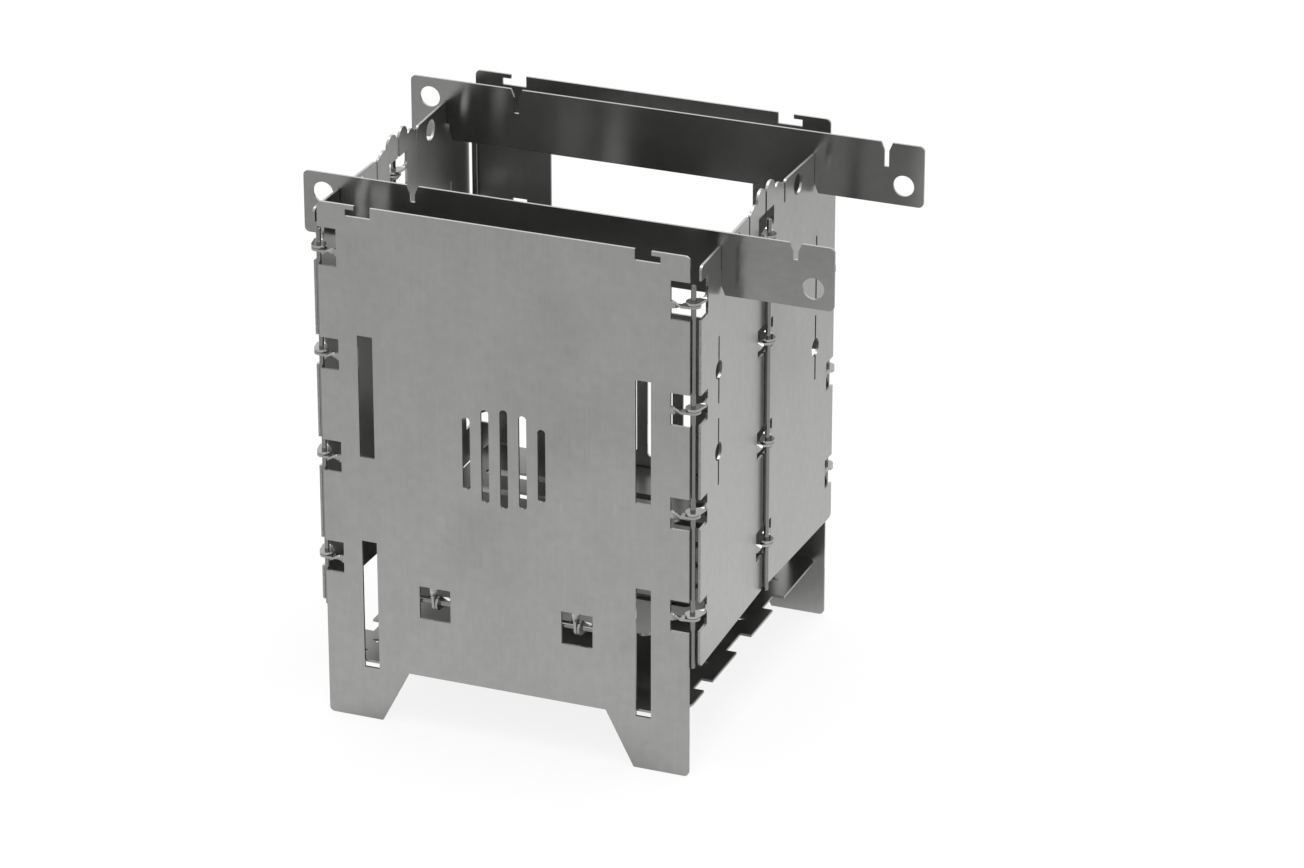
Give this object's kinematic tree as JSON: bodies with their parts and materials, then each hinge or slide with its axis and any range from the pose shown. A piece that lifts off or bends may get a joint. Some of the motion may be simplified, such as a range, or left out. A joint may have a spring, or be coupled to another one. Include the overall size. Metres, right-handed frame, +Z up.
{
  "type": "folding camping stove",
  "caption": "Folding camping wood stove of thin stainless sheet: hinged panels and leaves round a fire chamber, two rails across the top, a grate and an ash plate.",
  "frame": {"origin": "on the ground under the middle of the fire chamber, midway between the front and back panels", "axes": "+Z up, -Y towards the front panel, +X along the panels towards the long overhang of the rails"},
  "size_m": [0.214, 0.1532, 0.2182],
  "materials": {
    "steel_panel": "brushed",
    "steel_leaf": "brushed",
    "steel_plate": "brushed",
    "steel_rail": "brushed",
    "wire": "polished"
  },
  "bodies": {
    "front": {"front_panel": "steel_panel", "front_right_pin": "wire", "front_left_pin": "wire", "grate_pin": "wire"},
    "right_front": {"right_front_leaf": "steel_leaf", "right_mid_pin": "wire"},
    "right_rear": {"right_rear_leaf": "steel_leaf"},
    "back": {"back_panel": "steel_panel", "rear_right_pin": "wire", "rear_left_pin": "wire"},
    "left_front": {"left_front_leaf": "steel_leaf", "left_mid_pin": "wire"},
    "left_rear": {"left_rear_leaf": "steel_leaf"},
    "grate": {"fire_grate": "steel_plate"},
    "ash": {"ash_plate": "steel_plate"},
    "front_rail_body": {"front_rail": "steel_rail"},
    "rear_rail_body": {"rear_rail": "steel_rail"}
  },
  "joints": [
    {"name": "fold", "type": "hinge", "parent": "front", "child": "right_front", "pos_m": [0.07555, -0.07321, 0.12], "axis": [0, 0, 1], "range_deg": [0, 86.4]},
    {"name": "right_middle_hinge", "type": "hinge", "parent": "right_front", "child": "right_rear", "pos_m": [0.07766, 0, 0.12], "axis": [0, 0, 1], "range_deg": [-172.8, 0]},
    {"name": "rear_right_hinge", "type": "hinge", "parent": "right_rear", "child": "back", "pos_m": [0.07555, 0.07321, 0.12], "axis": [0, 0, 1], "range_deg": [0, 86.4]},
    {"name": "front_left_hinge", "type": "hinge", "parent": "front", "child": "left_front", "pos_m": [-0.07555, -0.07321, 0.12], "axis": [0, 0, 1], "range_deg": [-86.4, 0]},
    {"name": "left_middle_hinge", "type": "hinge", "parent": "left_front", "child": "left_rear", "pos_m": [-0.07766, 0, 0.12], "axis": [0, 0, 1], "range_deg": [0, 172.8]},
    {"name": "grate_swing", "type": "hinge", "parent": "front", "child": "grate", "pos_m": [0, -0.07321, 0.054], "axis": [1, 0, 0], "range_deg": [-77, 0]},
    {"name": "ash_plate_swing", "type": "hinge", "parent": "front", "child": "ash", "pos_m": [0, -0.0738, 0.024], "axis": [1, 0, 0], "range_deg": [-77, 0]},
    {"name": "front_rail_lift", "type": "slide", "parent": "front", "child": "front_rail_body", "axis": [0, 0, 1], "range_m": [0, 0.3454]},
    {"name": "rear_rail_lift", "type": "slide", "parent": "back", "child": "rear_rail_body", "axis": [0, 0, 1], "range_m": [0, 0.3892]}
  ],
  "couplings": [
    {"joint": "right_middle_hinge", "follows": "fold", "ratio": -2},
    {"joint": "rear_right_hinge", "follows": "fold", "ratio": 1},
    {"joint": "front_left_hinge", "follows": "fold", "ratio": -1},
    {"joint": "left_middle_hinge", "follows": "fold", "ratio": 2},
    {"joint": "grate_swing", "follows": "fold", "ratio": -0.8911},
    {"joint": "ash_plate_swing", "follows": "fold", "ratio": -0.8911},
    {"joint": "front_rail_lift", "follows": "fold", "m_per_rad": 0.229},
    {"joint": "rear_rail_lift", "follows": "fold", "m_per_rad": 0.258}
  ]
}
